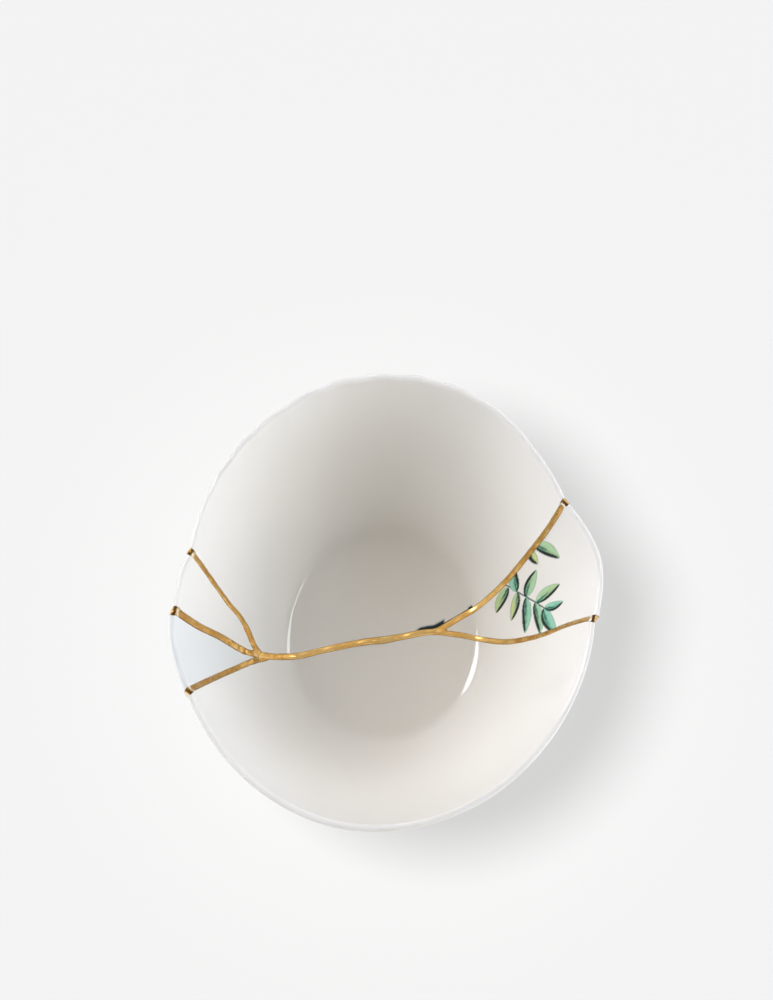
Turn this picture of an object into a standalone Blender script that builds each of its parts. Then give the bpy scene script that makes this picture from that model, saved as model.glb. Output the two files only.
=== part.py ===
"""Kintsugi soup plate: five porcelain shards joined by branching gold seams.

The bowl is turned as one round section, cut along the seams, and then drawn out
to the uneven outline that its shards have. Metres, +Z up, the origin under the
middle of the plate. +X is the side with the leaf shard, +Y the scalloped side.
"""

import math

import bmesh
import bpy
import numpy as np

# Driving dimensions in metres
RIM_RADIUS = 0.095  # mean radius over the lip
HEIGHT = 0.072
WALL = 0.003  # also the width of the round lip
FLOOR = 0.005  # thickness under the well
WELL_RADIUS = 0.0445  # where the floor turns into the wall
WELL_FILLET = 0.003
FOOT_HEIGHT = 0.004
FOOT_WIDTH = 0.006
FOOT_INSET = 0.0015  # the foot stands this far inside the well's edge
FOOT_ROUND = 0.0006  # rounding of the ring's lower edges
SEAM_WIDTH = 0.0028
SEAM_RISE = 0.0007  # how far the gold stands proud of the glaze
SCALLOP_DEPTH = 0.0008
GAP = 0.0003  # between the gold and each shard

# Slopes of the wall in degrees from level
SLOPE_AT_WELL = 28.0
SLOPE_AT_RIM = 66.0

# The well is a little longer than wide, and off the middle, as shares of its radius
WELL_WIDE = 0.932
WELL_LONG = 1.067
WELL_SHIFT = (-0.029, -0.007)

# Rim of each shard: (angle in degrees, share of the rim radius), counter-clockwise from +X
RIM_SHARES = {
    "upper_shard": [
        (30.2, 0.930), (45.0, 0.966), (60.0, 1.018), (75.0, 1.047), (100.0, 1.046),
        (120.0, 1.008), (140.0, 0.965), (152.0, 0.940), (164.8, 0.916),
    ],
    "left_upper_shard": [(166.2, 0.916), (170.0, 0.933), (176.0, 0.947), (182.1, 0.956)],
    "left_lower_shard": [(183.5, 0.969), (189.0, 0.980), (196.0, 0.986), (205.3, 0.988)],
    "lower_shard": [
        (206.7, 0.988), (222.0, 1.011), (240.0, 1.039), (257.0, 1.054), (275.0, 1.042),
        (295.0, 1.010), (314.0, 0.975), (334.0, 0.949), (353.8, 0.935),
    ],
    "leaf_shard": [
        (355.2, 0.950), (359.0, 0.958), (365.0, 0.973), (371.0, 0.980), (379.0, 0.963),
        (388.8, 0.932),
    ],
}
SCALLOPED = "upper_shard"
SCALLOP_PITCH = 10.0  # degrees
SCALLOP_START = 20.0 / 3.0
SCALLOP_FADES_FROM = 0.72  # share of the rim radius where the scallops begin to show

# Arms of the seam from their junction to the rim: (share of the rim radius, angle in degrees)
ARMS = {
    "upper_right": [
        (0.230, 2.2), (0.255, 2.6), (0.300, 6.2), (0.364, 10.9), (0.474, 15.7), (0.626, 21.0),
        (0.751, 24.6), (0.891, 27.3), (1.000, 29.5),
    ],
    "upper_left": [
        (0.615, 192.0), (0.640, 188.6), (0.665, 183.2), (0.700, 178.9), (0.780, 174.1),
        (0.890, 169.0), (1.000, 165.5),
    ],
    "middle_left": [
        (0.615, 192.3), (0.680, 191.2), (0.740, 188.8), (0.780, 187.3), (0.890, 185.2),
        (1.000, 182.8),
    ],
    "lower_left": [
        (0.580, 193.8), (0.650, 195.1), (0.730, 197.7), (0.820, 200.5), (1.000, 206.0),
    ],
    "lower_right": [
        (0.230, 362.2), (0.255, 361.9), (0.300, 360.6), (0.400, 358.4), (0.500, 355.9),
        (0.570, 354.3), (0.740, 354.1), (0.880, 355.3), (1.000, 354.5),
    ],
}
# The trunk between the two junctions, as (x, y) in shares of the rim radius
TRUNK = [
    (-0.605, -0.129), (-0.546, -0.129), (-0.480, -0.120), (-0.410, -0.111), (-0.310, -0.087),
    (-0.111, -0.045), (0.080, -0.018), (0.225, 0.008), (0.255, 0.009),
]
SEAM_WIDTH_SHARES = {
    "trunk": 1.15, "upper_left": 0.95, "middle_left": 1.1, "lower_left": 0.95,
    "lower_right": 1.0, "upper_right": 1.05,
}
SEAM_FLARE = 0.45  # how much wider the gold grows where it folds over the lip
FLARE_FROM = 0.955  # share of the rim radius where that begins
FORM_PARTS_FROM = 0.70  # nearer the middle the seams no longer part the wall's form
SECTIONS_TURN = (0.25, 0.35)  # between these shares they turn from square to along the rings
STEEPEST_SLANT = 0.5  # cosine of the most slanted seam against the rings

# Finishes: linear colour and roughness
WARM_GLAZE = (0.84, 0.83, 0.79)
COOL_GLAZE = (0.80, 0.83, 0.86)
COOL_SHARD = "left_lower_shard"
GLAZE_ROUGHNESS = 0.12
GOLD = (0.62, 0.43, 0.17)
GOLD_ROUGHNESS = 0.28

# Fineness of the faceted solids
TURNS = 108
WALL_FACETS = 7
LIP_FACETS = 5
LIP_UNDER_FACETS = 2
SEAM_ACROSS = (-1.0, -0.6, 0.0, 0.6, 1.0)
CENTRE_SPACING = 0.012
FINE_SPACING = 0.0005
SMALLEST_STEP = 0.0003
CUTTER_BEFORE_START = 0.001
CUTTER_PAST_RIM = 0.009
WELD = 0.000001
SHARP_ANGLE = 35.0


def rounded_step(x):
    """Rises smoothly from 0 to 1 as x does."""
    x = np.clip(x, 0.0, 1.0)
    return x * x * (3.0 - 2.0 * x)


def through_points(knots, x):
    """Smooth curve through (x, y) knots: cubics that share their slopes."""
    xs, ys = np.array(knots, float).T
    slopes = np.gradient(ys, xs)
    i = np.clip(np.searchsorted(xs, x) - 1, 0, len(xs) - 2)
    span = xs[i + 1] - xs[i]
    t = (x - xs[i]) / span
    places = (1 - t) ** 2 * (1 + 2 * t) * ys[i] + t * t * (3 - 2 * t) * ys[i + 1]
    return places + span * (t * (1 - t) ** 2 * slopes[i] - t * t * (1 - t) * slopes[i + 1])


def wall_lines():
    """(radius, height) of the turned inside and outside, each from the middle to the lip's edge."""
    floor_top = FOOT_HEIGHT + FLOOR
    half = WALL / 2
    well_slope, rim_slope = math.radians(SLOPE_AT_WELL), math.radians(SLOPE_AT_RIM)
    lip = np.array([RIM_RADIUS - half, HEIGHT - half])

    corner = np.array([WELL_RADIUS, floor_top])
    before = corner - (WELL_FILLET, 0.0)
    start = corner + WELL_FILLET * np.array([math.cos(well_slope), math.sin(well_slope)])
    fillet_middle = (before + 2 * corner + start) / 4
    end = lip + half * np.array([-math.sin(rim_slope), math.cos(rim_slope)])

    # The wall is a parabola whose ends have the two slopes
    rise = end[1] - start[1] - math.tan(rim_slope) * (end[0] - start[0])
    run = rise / (math.tan(well_slope) - math.tan(rim_slope))
    meeting = start + run * np.array([1.0, math.tan(well_slope)])
    t = np.linspace(0.0, 1.0, WALL_FACETS + 1)[:, None]
    inside_wall = (1 - t) ** 2 * start + 2 * t * (1 - t) * meeting + t * t * end
    tangent = (1 - t) * (meeting - start) + t * (end - meeting)
    tangent /= np.linalg.norm(tangent, axis=1)[:, None]
    outside_wall = inside_wall + WALL * np.stack([tangent[:, 1], -tangent[:, 0]], axis=1)

    # The lip is half a circle between the two wall faces
    first = math.pi / 2 + rim_slope
    inner_arc = np.linspace(first, 0.0, LIP_FACETS + 1)[1:]
    outer_arc = np.linspace(first - math.pi, 0.0, LIP_UNDER_FACETS + 1)[1:]
    inside = np.vstack([
        [0.0, floor_top], before, fillet_middle, inside_wall,
        lip + half * np.stack([np.cos(inner_arc), np.sin(inner_arc)], axis=1),
    ])

    foot_out = WELL_RADIUS - FOOT_INSET
    foot_in = foot_out - FOOT_WIDTH
    foot_top = outside_wall[0][1] - math.tan(well_slope) * (outside_wall[0][0] - foot_out)
    outside = np.vstack([
        [0.0, FOOT_HEIGHT], [foot_in, FOOT_HEIGHT],
        [foot_in + FOOT_ROUND, FOOT_ROUND], [foot_in + 2 * FOOT_ROUND, 0.0],
        [foot_out - 2 * FOOT_ROUND, 0.0], [foot_out - FOOT_ROUND, FOOT_ROUND],
        [foot_out, foot_top], outside_wall,
        lip + half * np.stack([np.cos(outer_arc), np.sin(outer_arc)], axis=1),
    ])
    return inside, outside


def make_collection(name):
    made = bpy.data.collections.new(name)
    bpy.context.scene.collection.children.link(made)
    return made


def add_object(name, mesh, home):
    obj = bpy.data.objects.new(name, mesh)
    home.objects.link(obj)
    return obj


def add_helper(name, mesh, home):
    """A cutter or a blank that other solids are made from."""
    obj = add_object(name, mesh, home)
    obj.hide_render = True
    obj.display_type = "WIRE"
    return obj


def finished_mesh(obj):
    """The object's mesh with its modifiers applied."""
    bpy.context.view_layer.update()
    graph = bpy.context.evaluated_depsgraph_get()
    return bpy.data.meshes.new_from_object(obj.evaluated_get(graph))


def turned_bowl(home):
    """The whole round bowl: its section runs up the inside and down the outside."""
    inside, outside = wall_lines()
    section = np.vstack([inside, outside[-2::-1]])
    points = [(radius, 0.0, height) for radius, height in section]
    edges = [(i, i + 1) for i in range(len(points) - 1)]
    mesh = bpy.data.meshes.new("bowl_section")
    mesh.from_pydata(points, edges, [])
    bowl = add_helper("turned_bowl", mesh, home)
    screw = bowl.modifiers.new("turn", "SCREW")
    screw.steps = screw.render_steps = TURNS
    screw.use_merge_vertices = True
    screw.merge_threshold = 0.00001
    return bowl


def arm_line(name):
    """Fine (x, y) points of one arm, in the round bowl."""
    shares = np.linspace(ARMS[name][0][0], 1.0, int(RIM_RADIUS / FINE_SPACING))
    angles = np.radians(through_points(ARMS[name], shares))
    return RIM_RADIUS * shares[:, None] * np.stack([np.cos(angles), np.sin(angles)], axis=1)


def trunk_line():
    xs = np.linspace(TRUNK[0][0], TRUNK[-1][0], int(RIM_RADIUS / FINE_SPACING))
    return RIM_RADIUS * np.stack([xs, through_points(TRUNK, xs)], axis=1)


def stations(line):
    """Picks the points of a line where it crosses a corner of the wall's section."""
    inside, outside = wall_lines()
    radius = np.hypot(*line.T)
    picked = [0, len(line) - 1]
    corners = set(outside[1:-1, 0]) | set(inside[1:4, 0]) | set(inside[-LIP_FACETS:-1, 0])
    for corner in corners:
        side = np.sign(radius - corner)
        picked += list(np.nonzero(side[1:] != side[:-1])[0] + 1)
    in_well = np.nonzero(radius < min(corners))[0]
    if len(in_well):
        every = max(1, int(CENTRE_SPACING / np.hypot(*(line[1] - line[0]))))
        picked += list(in_well[::every])
    picked = sorted(set(picked))
    kept = [picked[0]]
    for i in picked[1:]:
        if np.hypot(*(line[i] - line[kept[-1]])) > SMALLEST_STEP:
            kept.append(i)
    kept[-1] = picked[-1]
    return kept


def unit(vectors):
    return vectors / np.maximum(np.linalg.norm(vectors, axis=1), WELD)[:, None]


def seam_frame(line, name):
    """The stations of a seam, the direction across it at each, and its half width there."""
    kept = stations(line)
    points = line[kept]
    along = unit(np.gradient(line, axis=0)[kept])
    square = np.stack([-along[:, 1], along[:, 0]], axis=1)
    around = unit(np.stack([-points[:, 1], points[:, 0]], axis=1))
    slant = (around * square).sum(axis=1)
    around = around * (np.sign(slant) / np.maximum(np.abs(slant), STEEPEST_SLANT))[:, None]
    # Outside the well the sections follow the rings of the wall, so that they meet its corners
    share = np.hypot(*points.T) / RIM_RADIUS
    first, last = SECTIONS_TURN
    turned = rounded_step((share - first) / (last - first))[:, None]
    across = (1 - turned) * square + turned * around
    flare = 1 + SEAM_FLARE * rounded_step((share - FLARE_FROM) / (1 - FLARE_FROM))
    return points, across, flare * SEAM_WIDTH * SEAM_WIDTH_SHARES[name] / 2


def loft(name, rings):
    """A closed solid through rings that all have the same number of points."""
    count, size = rings.shape[:2]
    faces = [tuple(range(size)), tuple(range((count - 1) * size, count * size))]
    for first in range(0, (count - 1) * size, size):
        for j in range(size):
            k = (j + 1) % size
            faces.append((first + j, first + k, first + size + k, first + size + j))
    mesh = bpy.data.meshes.new(name)
    mesh.from_pydata(rings.reshape(-1, 3).tolist(), [], faces)
    shape = bmesh.new()
    shape.from_mesh(mesh)
    bmesh.ops.remove_doubles(shape, verts=shape.verts, dist=WELD)
    bmesh.ops.dissolve_degenerate(shape, edges=shape.edges, dist=WELD)
    bmesh.ops.recalc_face_normals(shape, faces=shape.faces)
    shape.to_mesh(mesh)
    shape.free()
    return mesh


def face_at(line, radius, facing):
    """Height of a section line at each radius, and its unit normal: facing is 1 up, -1 down."""
    xs, ys = line.T
    height = np.interp(radius, xs, ys)
    lean = np.arctan(np.interp(radius, xs, np.gradient(ys, xs)))
    normal = facing * np.stack([-np.sin(lean), np.cos(lean)], axis=1)
    normal[radius > RIM_RADIUS - SMALLEST_STEP] = (1.0, 0.0)
    return height, normal


def gold_strand(name, line):
    """One run of the seam: a bead on each face of the wall, joined through its thickness."""
    inside, outside = wall_lines()
    points, across, half_width = seam_frame(line, name)
    radius = np.hypot(*points.T)
    out = unit(points)
    rings = []
    for wall_line, facing in ((inside, 1), (outside, -1)):
        height, normal = face_at(wall_line, radius, facing)
        for side in SEAM_ACROSS[::facing]:
            rise = SEAM_RISE * (1 - side * side)
            place = points + across * (half_width * side)[:, None] + out * (normal[:, :1] * rise)
            level = np.maximum(height + normal[:, 1] * rise, GAP)
            rings.append(np.column_stack([place, level]))
    return loft(f"gold_{name}", np.stack(rings, axis=1))


def seam_cutter(name, line, home):
    """The clearance for one run of the seam: a tall upright ribbon, a gap wider on each side."""
    points, across, half_width = seam_frame(line, name)
    first = points[:1] - unit(points[1:2] - points[:1]) * CUTTER_BEFORE_START
    last = points[-1:] + unit(points[-1:] - points[-2:-1]) * CUTTER_PAST_RIM
    points = np.vstack([first, points, last])
    across = np.vstack([across[:1], across, across[-1:]])
    half_width = np.concatenate([half_width[:1], half_width, half_width[-1:]]) + GAP
    left = points - across * half_width[:, None]
    right = points + across * half_width[:, None]
    low = np.full(len(points), -WALL)
    high = np.full(len(points), HEIGHT + WALL)
    rings = [(left, low), (right, low), (right, high), (left, high)]
    rings = np.stack([np.column_stack(ring) for ring in rings], axis=1)
    return add_helper(f"cutter_{name}", loft(f"cutter_{name}", rings), home)


def add_boolean(obj, operation, other):
    cut = obj.modifiers.new(f"{operation.lower()}_{other.name}", "BOOLEAN")
    cut.operation = operation
    cut.solver = "EXACT"
    cut.object = other


def loose_parts(mesh):
    """Splits a mesh into the meshes of its separate bodies."""
    shape = bmesh.new()
    shape.from_mesh(mesh)
    waiting = set(shape.verts)
    bodies = []
    while waiting:
        body, edge = set(), [next(iter(waiting))]
        while edge:
            vert = edge.pop()
            if vert in body:
                continue
            body.add(vert)
            edge += [e.other_vert(vert) for e in vert.link_edges]
        waiting -= body
        bodies.append(sorted(v.index for v in body))
    shape.free()
    made = []
    for body in sorted(bodies):
        keep = set(body)
        part = bmesh.new()
        part.from_mesh(mesh)
        bmesh.ops.delete(part, geom=[v for v in part.verts if v.index not in keep], context="VERTS")
        piece = bpy.data.meshes.new("shard")
        part.to_mesh(piece)
        part.free()
        made.append(piece)
    return made


def points_of(mesh):
    flat = np.empty(len(mesh.vertices) * 3)
    mesh.vertices.foreach_get("co", flat)
    return flat.reshape(-1, 3)


def shard_name(mesh):
    """The shard whose stretch of rim this body has."""
    points = points_of(mesh)
    rim = points[points[:, 2] > HEIGHT - WALL]
    middle = rim[:, :2].mean(axis=0)
    angle = math.degrees(math.atan2(middle[1], middle[0])) % 360
    for name, knots in RIM_SHARES.items():
        if (angle - knots[0][0]) % 360 < knots[-1][0] - knots[0][0]:
            break
    return name


def rim_angle(angle, share):
    """Where on the rim the wall's form comes from: the seams carry it along with them."""
    share = np.clip(share, FORM_PARTS_FROM, 1.0)
    seams = [np.interp(share, *np.array(arm).T) for arm in ARMS.values()]
    ends = [arm[-1][1] for arm in ARMS.values()]
    seams.append(seams[0] + 360.0)
    ends.append(ends[0] + 360.0)
    angle = (angle - seams[0]) % 360 + seams[0]
    placed = np.zeros_like(angle)
    for i in range(len(ARMS)):
        part = (angle - seams[i]) / (seams[i + 1] - seams[i])
        between = (part >= 0) & (part <= 1)
        placed = np.where(between, ends[i] + part * (ends[i + 1] - ends[i]), placed)
    return placed


def rim_share(angle, share):
    """Share of the rim radius at each angle: the shards' own curves, with short steps between."""
    knots = [knot for shard in RIM_SHARES.values() for knot in shard]
    first, first_share = knots[0]
    angle = (angle - first) % 360 + first
    xs, ys = np.array(knots + [(first + 360, first_share)]).T
    found = np.interp(angle, xs, ys)
    for shard in RIM_SHARES.values():
        inside = (angle >= shard[0][0]) & (angle <= shard[-1][0])
        found = np.where(inside, through_points(shard, angle), found)
    start, end = RIM_SHARES[SCALLOPED][0][0], RIM_SHARES[SCALLOPED][-1][0]
    lobe = np.abs(np.sin(np.pi * (angle - SCALLOP_START) / SCALLOP_PITCH)) - 2 / np.pi
    shown = np.sin(np.pi * np.clip((angle - start) / (end - start), 0, 1))
    shown = shown * rounded_step((share - SCALLOP_FADES_FROM) / (1 - SCALLOP_FADES_FROM))
    return found + SCALLOP_DEPTH / RIM_RADIUS * lobe * shown


def draw_out(mesh):
    """Moves the points of a round solid to the plate's uneven outline and its long well."""
    points = points_of(mesh)
    radius = np.hypot(points[:, 0], points[:, 1])
    angle = np.arctan2(points[:, 1], points[:, 0])
    share = radius / RIM_RADIUS
    well = WELL_RADIUS / RIM_RADIUS
    well_share = 1 / np.hypot(np.cos(angle) / WELL_WIDE, np.sin(angle) / WELL_LONG)
    outer = rim_share(rim_angle(np.degrees(angle), share), share)
    blend = rounded_step((share - well) / (1 - well))
    radius = radius * (well_share * (1 - blend) + outer * blend)
    points[:, 0] = radius * np.cos(angle) + WELL_SHIFT[0] * WELL_RADIUS * (1 - blend)
    points[:, 1] = radius * np.sin(angle) + WELL_SHIFT[1] * WELL_RADIUS * (1 - blend)
    mesh.vertices.foreach_set("co", points.ravel())
    mesh.update()


def finish(obj, colour, roughness, metallic):
    """Gives a solid its colour, and smooth shading that keeps its edges."""
    material = bpy.data.materials.new(obj.name)
    material.use_nodes = True
    shader = material.node_tree.nodes["Principled BSDF"]
    shader.inputs["Base Color"].default_value = (*colour, 1.0)
    shader.inputs["Roughness"].default_value = roughness
    shader.inputs["Metallic"].default_value = metallic
    obj.data.materials.clear()
    obj.data.materials.append(material)
    obj.data.shade_smooth()
    obj.data.set_sharp_from_angle(angle=math.radians(SHARP_ANGLE))


def centre_on_origin(objects):
    """Puts the origin under the middle of the plate's outline."""
    corners = np.vstack([points_of(obj.data) for obj in objects])
    middle = (corners.min(axis=0) + corners.max(axis=0)) / 2
    for obj in objects:
        points = points_of(obj.data) - (middle[0], middle[1], 0.0)
        obj.data.vertices.foreach_set("co", points.ravel())
        obj.data.update()


def main():
    for obj in list(bpy.data.objects):
        bpy.data.objects.remove(obj)
    plate = make_collection("kintsugi_soup_plate")
    helpers = make_collection("cutters")

    lines = {"trunk": trunk_line()}
    for arm in ARMS:
        lines[arm] = arm_line(arm)

    bowl = turned_bowl(helpers)
    for name, line in lines.items():
        add_boolean(bowl, "DIFFERENCE", seam_cutter(name, line, helpers))
    objects = []
    for mesh in loose_parts(finished_mesh(bowl)):
        shard = add_object(shard_name(mesh), mesh, plate)
        draw_out(mesh)
        colour = COOL_GLAZE if shard.name == COOL_SHARD else WARM_GLAZE
        finish(shard, colour, GLAZE_ROUGHNESS, 0.0)
        objects.append(shard)

    gold = add_helper("gold_blank", gold_strand("trunk", lines["trunk"]), helpers)
    for arm in ARMS:
        strand = add_helper(f"gold_{arm}", gold_strand(arm, lines[arm]), helpers)
        add_boolean(gold, "UNION", strand)
    seams = add_object("gold_seams", finished_mesh(gold), plate)
    draw_out(seams.data)
    finish(seams, GOLD, GOLD_ROUGHNESS, 1.0)
    objects.append(seams)

    centre_on_origin(objects)


main()
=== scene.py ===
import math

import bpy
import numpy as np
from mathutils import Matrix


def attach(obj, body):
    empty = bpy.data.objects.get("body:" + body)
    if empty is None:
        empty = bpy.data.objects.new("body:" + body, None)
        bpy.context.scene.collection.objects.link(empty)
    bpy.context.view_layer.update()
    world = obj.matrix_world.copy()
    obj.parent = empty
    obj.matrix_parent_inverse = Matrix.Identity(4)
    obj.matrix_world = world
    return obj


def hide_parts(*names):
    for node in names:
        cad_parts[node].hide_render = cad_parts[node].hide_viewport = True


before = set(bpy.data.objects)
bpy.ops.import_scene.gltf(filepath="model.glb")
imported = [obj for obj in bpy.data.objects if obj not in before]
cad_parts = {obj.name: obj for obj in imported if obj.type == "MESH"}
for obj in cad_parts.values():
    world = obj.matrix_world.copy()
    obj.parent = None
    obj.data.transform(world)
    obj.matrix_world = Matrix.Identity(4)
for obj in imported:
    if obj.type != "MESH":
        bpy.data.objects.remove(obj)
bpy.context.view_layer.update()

# A soup plate in five glazed porcelain shards, joined by raised gold seams.
# The bowl is worked out as a round one, cut along its seams, and then drawn out to
# the uneven outline of the shards. Lengths are in metres, angles in degrees.

bowl = {
    "radius": 0.095,  # mean radius over the lip
    "height": 0.072,
    "wall": 0.003,  # the lip is half a circle of this width
    "floor": 0.005,
    "wellRadius": 0.0445,
    "wellFillet": 0.003,
    "slopeAtWell": 28.0,
    "slopeAtRim": 66.0,
    "footHeight": 0.004,
    "footWidth": 0.006,
    "footInset": 0.0015,
    "footRound": 0.0006,
    "wellWide": 0.932,  # the well is longer than wide
    "wellLong": 1.067,
    "wellShift": (-0.029, -0.007),  # shares of the well's radius
    "partsFrom": 0.70,  # share of the radius from which the seams part the wall's form
}

# Rim of each shard: angle and share of the mean radius, counter-clockwise from +X
rims = {
    "upper_shard": [
        (30.2, 0.930), (45.0, 0.966), (60.0, 1.018), (75.0, 1.047), (100.0, 1.046),
        (120.0, 1.008), (140.0, 0.965), (152.0, 0.940), (164.8, 0.916),
    ],
    "left_upper_shard": [(166.2, 0.916), (170.0, 0.933), (176.0, 0.947), (182.1, 0.956)],
    "left_lower_shard": [(183.5, 0.969), (189.0, 0.980), (196.0, 0.986), (205.3, 0.988)],
    "lower_shard": [
        (206.7, 0.988), (222.0, 1.011), (240.0, 1.039), (257.0, 1.054), (275.0, 1.042),
        (295.0, 1.010), (314.0, 0.975), (334.0, 0.949), (353.8, 0.935),
    ],
    "leaf_shard": [
        (355.2, 0.950), (359.0, 0.958), (365.0, 0.973), (371.0, 0.980), (379.0, 0.963),
        (388.8, 0.932),
    ],
}

scallops = {
    "shard": "upper_shard",
    "depth": 0.0008,
    "pitch": 10.0,  # degrees from one to the next
    "start": 20.0 / 3.0,
    "fadesFrom": 0.90,
}

# Arms of the seam from their junction to the rim: share of the radius and angle
arms = {
    "upperRight": [
        (0.230, 2.2), (0.255, 2.6), (0.300, 6.2), (0.364, 10.9), (0.474, 15.7), (0.626, 21.0),
        (0.751, 24.6), (0.891, 27.3), (1.000, 29.5),
    ],
    "upperLeft": [
        (0.615, 192.0), (0.640, 188.6), (0.665, 183.2), (0.700, 178.9), (0.780, 174.1),
        (0.890, 169.0), (1.000, 165.5),
    ],
    "middleLeft": [
        (0.615, 192.3), (0.680, 191.2), (0.740, 188.8), (0.780, 187.3), (0.890, 185.2),
        (1.000, 182.8),
    ],
    "lowerLeft": [
        (0.580, 193.8), (0.650, 195.1), (0.730, 197.7), (0.820, 200.5), (1.000, 206.0),
    ],
    "lowerRight": [
        (0.230, 362.2), (0.255, 361.9), (0.300, 360.6), (0.400, 358.4), (0.500, 355.9),
        (0.570, 354.3), (0.740, 354.1), (0.880, 355.3), (1.000, 354.5),
    ],
}
# The trunk between the two junctions, x and y in shares of the radius
trunk = [
    (-0.605, -0.129), (-0.546, -0.129), (-0.480, -0.120), (-0.410, -0.111), (-0.310, -0.087),
    (-0.111, -0.045), (0.080, -0.018), (0.225, 0.008), (0.255, 0.009),
]

gold = {
    "width": 0.0028,
    "rise": 0.0007,  # how far the bead stands proud of the glaze
    "widths": {
        "trunk": 1.15, "upperLeft": 0.95, "middleLeft": 1.1, "lowerLeft": 0.95,
        "lowerRight": 1.0, "upperRight": 1.05,
    },
    "flare": 0.32,  # how much wider it grows over the lip
    "flareFrom": 0.962,  # between these shares of the radius the bead swells into its end pad
    "flareTo": 0.976,
    "neck": 0.35,  # how much lower the bead is just inside the pad
    "overLip": 0.5,  # share of its rise that is left over the lip's edge
    "overLipFrom": 0.984,
    "overLipIn": 0.012,
    "clearOfTable": 0.0003,
    "spacing": 0.0006,
    "across": 11,  # points over the bead, on each side of the wall
    "voxel": 0.00032,
    "wobble": 0.00010,  # depth of the slow unevenness along the bead
    "wobbleLength": 0.009,
    "facets": 150,  # small hammered facets round the left junction
    "facetTilt": 0.50,
    "facetsAt": (-0.0560, -0.0105),
    "facetsReach": 0.015,
    "facetsWide": 0.6,  # the patch's width for its length
    "seed": 4,
    "colour": "#f0c67c",
    "deepColour": "#d7a356",
    # The brown along the bead's edges is partly the gold running out thin over the lacquer and partly
    # painted shade
    "edgeBrownAndShadeColour": "#7d5426",
    "borderFrom": 0.72,  # share of the half width where the brown, partly painted shade, sets in
    "borderCover": 0.85,
    "rubbed": 0.007,  # metres from one brighter place to the next
    "polish": (0.20, 0.33),  # roughness where it is brightest and where it is dullest
    "grain": 0.0022,  # metres between the burnisher's small dents
    "grainDepth": 0.00005,
    # Painted bands over each end pad, both in shares of the radius: where, and half how wide
    "worn": [(0.9835, 0.0075)],  # a painted dark reflection across the pad's middle
    "fresh": [(0.9700, 0.0035), (0.9990, 0.0040)],  # painted highlights on both sides of it
    # Colours of the painted dark reflection and of the painted highlights on the end pads
    "wornColour": "#5a3c18",
    "freshColour": "#fff8e4",
}


def smoothStep(x):  # 3x^2 - 2x^3 between 0 and 1
    x = np.clip(x, 0.0, 1.0)
    return x * x * (3.0 - 2.0 * x)


def throughPoints(knots, x):
    # Cubic pieces through the knots, with the slopes at the knots taken from their neighbours
    xs, ys = np.array(knots, float).T
    slopes = np.gradient(ys, xs)
    i = np.clip(np.searchsorted(xs, x) - 1, 0, len(xs) - 2)
    span = xs[i + 1] - xs[i]
    t = (x - xs[i]) / span
    places = (1 - t) ** 2 * (1 + 2 * t) * ys[i] + t * t * (3 - 2 * t) * ys[i + 1]
    return places + span * (t * (1 - t) ** 2 * slopes[i] - t * t * (1 - t) * slopes[i + 1])


def bezier(a, b, c, count):  # (1-t)^2 a + 2t(1-t) b + t^2 c
    t = np.linspace(0.0, 1.0, count)[:, None]
    return (1 - t) ** 2 * a + 2 * t * (1 - t) * b + t * t * c


def nearestOn(points, line, halves=1.0):
    # Distance in plan from each point to the nearest point of a fine line, divided by the
    # line's half width there, and the number of that point
    gaps, found = np.empty(len(points)), np.empty(len(points), int)
    for start in range(0, len(points), 20000):
        part = slice(start, start + 20000)
        away = points[part, None, :2] - line[None, :, :2]
        away = np.hypot(away[..., 0], away[..., 1]) / halves
        found[part] = away.argmin(axis=1)
        gaps[part] = away.min(axis=1)
    return gaps, found


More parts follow.
